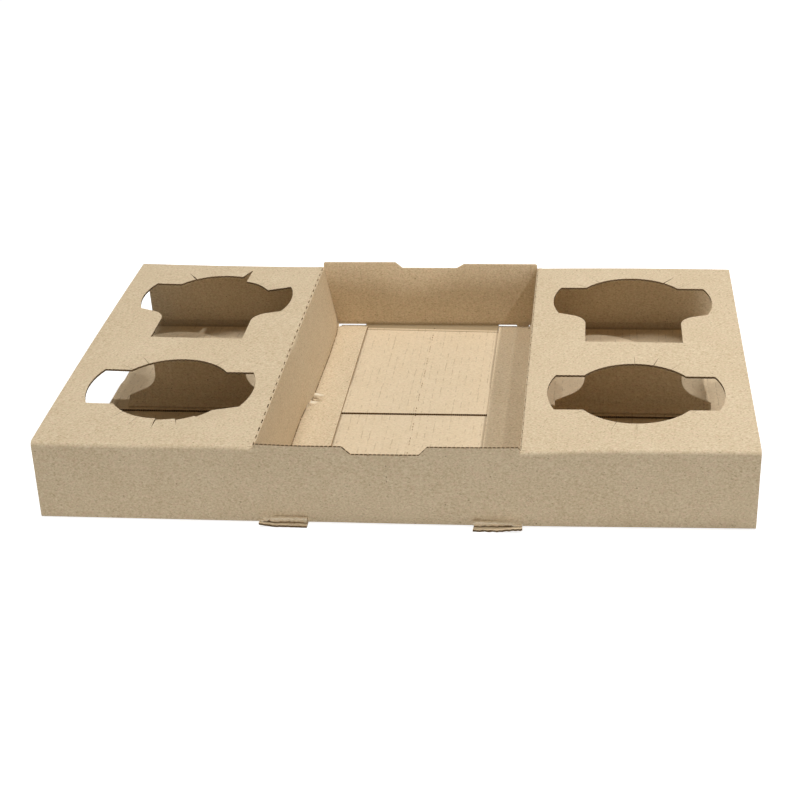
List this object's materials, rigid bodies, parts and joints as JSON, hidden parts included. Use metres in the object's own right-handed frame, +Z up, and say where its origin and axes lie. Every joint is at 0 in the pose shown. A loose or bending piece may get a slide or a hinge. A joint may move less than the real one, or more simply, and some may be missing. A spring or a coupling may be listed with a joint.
{
  "type": "cup carrier",
  "caption": "Folded corrugated kraft board carrier with cup holes in open-ended sleeves on each side of a sunk tray.",
  "frame": {"origin": "middle of the outline, at the surface the carrier stands on", "axes": "+X along the length from sleeve to sleeve, +Y towards the back wall, +Z up"},
  "size_m": [0.46, 0.2894, 0.057],
  "materials": {
    "board": "matt unprinted kraft liner"
  },
  "bodies": {
    "root": {"carrier": "board"}
  },
  "joints": []
}
